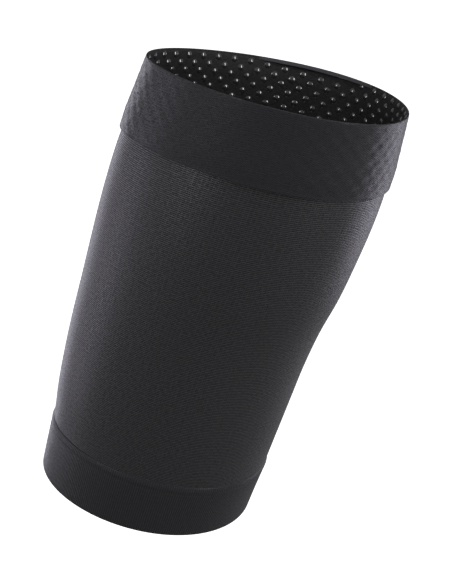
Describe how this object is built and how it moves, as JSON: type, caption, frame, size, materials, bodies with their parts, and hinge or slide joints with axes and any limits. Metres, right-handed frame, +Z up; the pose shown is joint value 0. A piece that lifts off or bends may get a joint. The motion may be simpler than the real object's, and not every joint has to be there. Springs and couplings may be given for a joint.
{
  "type": "thigh compression sleeve",
  "caption": "Tapered knitted compression sleeve for the thigh, open at both ends, with a dotted silicone grip band round the top and a doubled welt cuff round the lower end.",
  "frame": {"origin": "on the thigh's axis, about half way up the grip band", "axes": "+Z up along the thigh, square to both rims; -X to the front of the thigh, +X to the back"},
  "size_m": [0.1938, 0.189, 0.301],
  "materials": {
    "band_knit": "doubled knit with shallow diamond puckers, charcoal black",
    "lining_knit": "smooth black knit",
    "tube_knit": "fine compression knit, charcoal black with a soft sheen",
    "cuff_knit": "doubled welt with fine upright ribs, charcoal black",
    "grip_silicone": "glossy clear silicone domes that look black on the lining"
  },
  "bodies": {
    "root": {"top_band": "band_knit", "grip_lining": "lining_knit", "sleeve_tube": "tube_knit", "bottom_cuff": "cuff_knit"}
  },
  "joints": []
}
